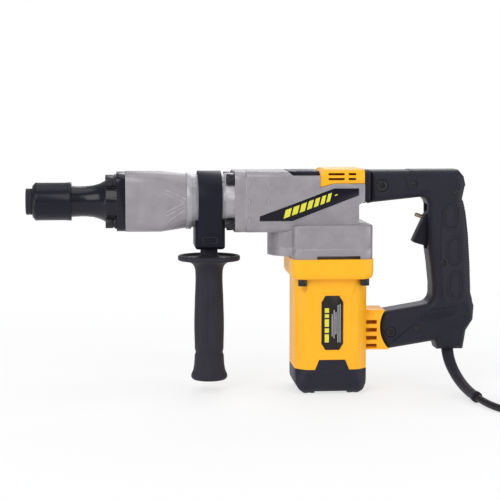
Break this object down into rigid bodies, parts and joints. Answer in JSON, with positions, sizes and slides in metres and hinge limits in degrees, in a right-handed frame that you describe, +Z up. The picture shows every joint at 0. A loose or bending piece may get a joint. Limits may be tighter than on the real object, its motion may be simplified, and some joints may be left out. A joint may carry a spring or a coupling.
{
  "type": "electric demolition hammer",
  "caption": "Corded demolition hammer with a vertical motor, a crank-driven hammer mechanism, a quick-lock hexagonal socket, a rear D-handle and a swivelling side handle",
  "frame": {"origin": "on the standing surface, in the middle of the tool's own outline without its cord", "axes": "+Z up, -X towards the nose, +X towards the rear handle, Y across the tool"},
  "size_m": [0.5885, 0.2245, 0.2224],
  "materials": {
    "black_steel": "gloss black enamel over forged steel",
    "sleeve_black": "smooth gloss black",
    "holder_steel": "dark hardened steel",
    "bolt_steel": "black-oxide, satin",
    "bright_steel": "zinc-plated",
    "ground_steel": "ground",
    "spring_steel": "drawn wire",
    "cast_iron": "forged and machined",
    "cast_aluminium": "matt sand-cast",
    "turned_aluminium": "turned",
    "lamination_steel": "stacked laminations, varnished",
    "copper_winding": "enamelled copper wire",
    "copper_bars": "turned copper",
    "holder_brass": "pressed",
    "carbon": "dry carbon",
    "yellow_plastic": "fine satin, warm yellow",
    "black_plastic": "fine matt, charcoal black",
    "trigger_black": "satin black",
    "badge_black": "satin black film",
    "band_black": "satin black",
    "pin_bronze": "brown phosphate",
    "soft_rubber": "matt black",
    "cord_black": "satin black sheath"
  },
  "bodies": {
    "tool": {"nose_cover": "black_steel", "tool_holder": "holder_steel", "nose_bolts": "bolt_steel", "dust_cap": "soft_rubber", "sleeve_spring": "spring_steel", "cylinder_case": "cast_aluminium", "case_bolts": "bolt_steel", "cylinder_liner": "ground_steel", "buffer_ring": "soft_rubber", "crank_case": "cast_aluminium", "crank_lid": "black_plastic", "cross_screws": "bright_steel", "top_vent_cover": "yellow_plastic", "side_badges": "badge_black", "crank_bearings": "ground_steel", "gear_plate": "cast_aluminium", "motor_housing": "yellow_plastic", "housing_screws": "bolt_steel", "tail_cap": "black_plastic", "nameplate": "badge_black", "stator_core": "lamination_steel", "field_coils": "copper_winding", "fan_shroud": "black_plastic", "armature_bearings": "ground_steel", "brush_holders": "holder_brass", "carbon_brushes": "carbon", "rear_vent_duct": "yellow_plastic", "arm_boot": "soft_rubber", "handle_left": "black_plastic", "handle_right": "black_plastic", "handle_screws": "bolt_steel", "handle_bolts": "bolt_steel", "grip_pad": "soft_rubber", "switch_body": "black_plastic", "trigger_pin": "ground_steel", "cord_clamp": "black_plastic", "cord_guard": "soft_rubber", "cord": "cord_black", "cord_coil": "cord_black", "plug": "cord_black", "plug_pins": "bright_steel"},
    "lock_sleeve": {"lock_sleeve": "sleeve_black"},
    "lock_roller": {"lock_roller": "ground_steel"},
    "impact_bolt": {"impact_bolt": "ground_steel"},
    "striker": {"striker": "ground_steel"},
    "piston": {"piston": "turned_aluminium", "piston_pin": "ground_steel"},
    "connecting_rod": {"connecting_rod": "cast_iron"},
    "crank": {"crank_shaft": "ground_steel", "crank_gear": "ground_steel"},
    "armature": {"armature_shaft": "ground_steel", "armature_core": "lamination_steel", "commutator": "copper_bars", "cooling_fan": "black_plastic"},
    "trigger": {"trigger": "trigger_black"},
    "lock_pin": {"lock_pin": "pin_bronze"},
    "clamp": {"clamp_band": "band_black", "clamp_yoke": "black_plastic", "clamp_stud": "ground_steel"},
    "side_grip": {"side_grip": "soft_rubber"}
  },
  "joints": [
    {"name": "sleeve_slide", "type": "slide", "parent": "tool", "child": "lock_sleeve", "axis": [1, 0, 0], "range_m": [0, 0.008], "stiffness_N_per_m": 900, "springref_m": -0.012, "deforming": ["sleeve_spring"]},
    {"name": "roller_slide", "type": "slide", "parent": "tool", "child": "lock_roller", "axis": [0, 0, 1], "range_m": [0, 0.0023]},
    {"name": "impact_bolt_slide", "type": "slide", "parent": "tool", "child": "impact_bolt", "axis": [1, 0, 0], "range_m": [-0.008, 0]},
    {"name": "striker_slide", "type": "slide", "parent": "tool", "child": "striker", "axis": [1, 0, 0], "range_m": [0, 0.0275]},
    {"name": "piston_slide", "type": "slide", "parent": "tool", "child": "piston", "axis": [1, 0, 0], "range_m": [0, 0.022]},
    {"name": "rod_swing", "type": "hinge", "parent": "piston", "child": "connecting_rod", "pos_m": [-0.0245, 0, 0.1905], "axis": [0, 0, 1], "range_deg": [-10.5, 10.5]},
    {"name": "armature_spin", "type": "hinge", "parent": "tool", "child": "armature", "pos_m": [0.0765, 0, 0.08], "axis": [0, 0, 1], "continuous": true},
    {"name": "crank_spin", "type": "hinge", "parent": "tool", "child": "crank", "pos_m": [0.0465, 0, 0.16], "axis": [0, 0, 1], "continuous": true},
    {"name": "trigger_press", "type": "hinge", "parent": "tool", "child": "trigger", "pos_m": [0.181, 0, 0.1815], "axis": [0, -1, 0], "range_deg": [0, 7.5], "stiffness_Nm_per_rad": 0.6, "springref_deg": -20.05},
    {"name": "lock_pin_press", "type": "slide", "parent": "trigger", "child": "lock_pin", "axis": [0.9455, 0, -0.3256], "range_m": [0, 0.003], "stiffness_N_per_m": 400, "springref_m": -0.002},
    {"name": "clamp_turn", "type": "hinge", "parent": "tool", "child": "clamp", "pos_m": [-0.043, 0, 0.1905], "axis": [1, 0, 0], "range_deg": [-180, 180]},
    {"name": "grip_turn", "type": "hinge", "parent": "clamp", "child": "side_grip", "pos_m": [-0.043, 0, 0.12], "axis": [0, 0, 1], "continuous": true}
  ],
  "couplings": [
    {"joint": "roller_slide", "follows": "sleeve_slide", "ratio": 0.2875},
    {"joint": "crank_spin", "follows": "armature_spin", "ratio": -0.15385}
  ]
}
